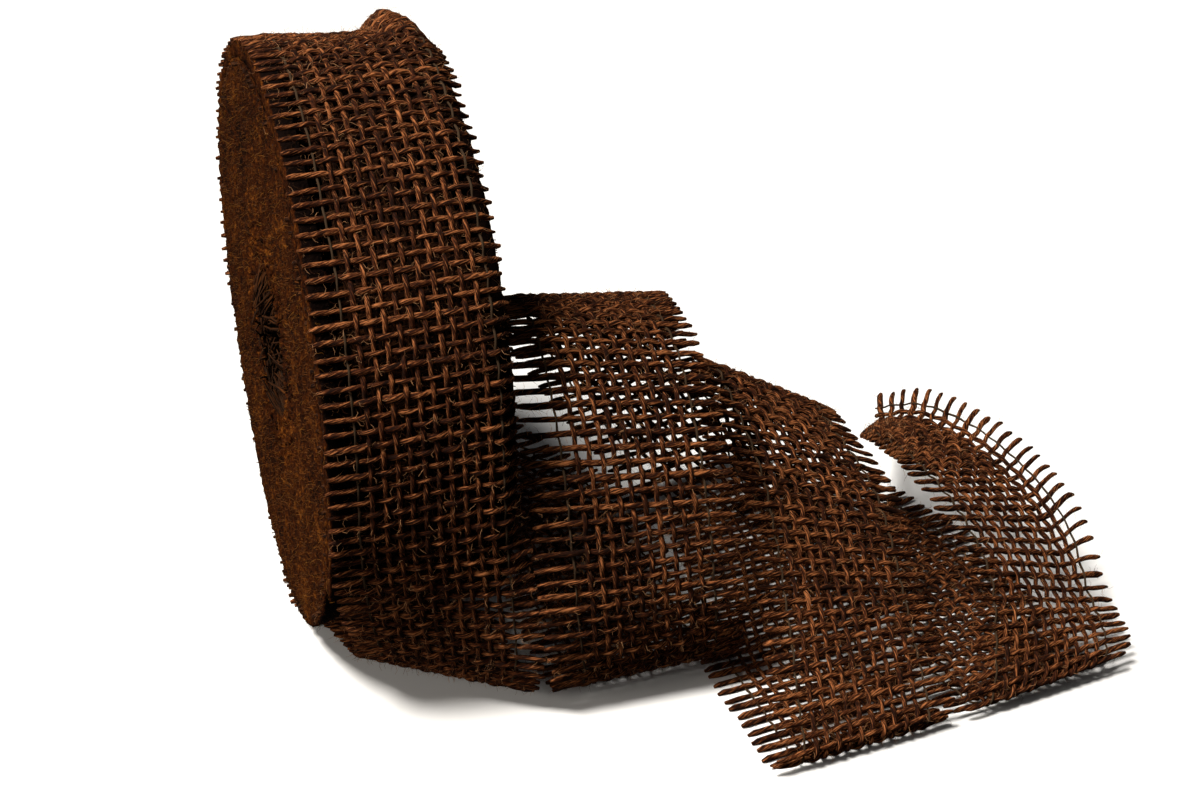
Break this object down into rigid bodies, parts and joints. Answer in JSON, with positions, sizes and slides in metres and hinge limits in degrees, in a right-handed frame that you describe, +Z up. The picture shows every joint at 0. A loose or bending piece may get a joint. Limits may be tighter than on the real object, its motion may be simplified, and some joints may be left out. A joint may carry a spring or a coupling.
{
  "type": "ribbon spool",
  "caption": "Roll of fringed open-weave jute ribbon on a cardboard core, standing on its rim, with its last turns sprung loose in curls beside it.",
  "frame": {"origin": "where the standing roll's rim meets the table, under the middle of its width", "axes": "X along the roll's axis, toward the loose turns; Y level and square to it, away from the slack fold at the front; Z up"},
  "size_m": [0.2079, 0.1935, 0.1541],
  "materials": {
    "jute_wound": "open plain weave of hairy dark brown jute yarns, packed in a spiral",
    "jute_loose": "open plain weave of hairy dark brown jute yarns, fringed at both edges",
    "greyboard": "spiral wound grey-brown paperboard, matte",
    "tape_clear": "clear adhesive tape, satin"
  },
  "bodies": {
    "ribbon": {"wrap_under_roll": "jute_loose", "wrap_slack_fold": "jute_loose", "wrap_front_lower": "jute_loose", "wrap_front_upper": "jute_loose", "wrap_top_front": "jute_loose", "wrap_top_back": "jute_loose", "wrap_back_upper": "jute_loose", "wrap_back_lower": "jute_loose", "lead_off_slope": "jute_loose", "lead_off_floor": "jute_loose", "high_loop_foot": "jute_loose", "high_loop_front": "jute_loose", "high_loop_crest": "jute_loose", "high_loop_back": "jute_loose", "high_loop_landing": "jute_loose", "second_floor_run": "jute_loose", "second_loop_fold": "jute_loose", "second_loop_front": "jute_loose", "second_loop_crest": "jute_loose", "second_loop_back": "jute_loose", "third_floor_run": "jute_loose", "last_curl_fold": "jute_loose", "last_curl_front": "jute_loose", "last_curl_crest": "jute_loose", "cut_end": "jute_loose"},
    "roll": {"core_inner_ply": "greyboard", "core_outer_ply": "greyboard", "start_tape": "tape_clear", "wound_innermost": "jute_wound", "wound_inner": "jute_wound", "wound_middle": "jute_wound", "wound_outer": "jute_wound"}
  },
  "joints": [
    {"name": "roll_turn", "type": "hinge", "parent": "ribbon", "child": "roll", "pos_m": [0, 0, 0.07444], "axis": [1, 0, 0], "continuous": true}
  ]
}
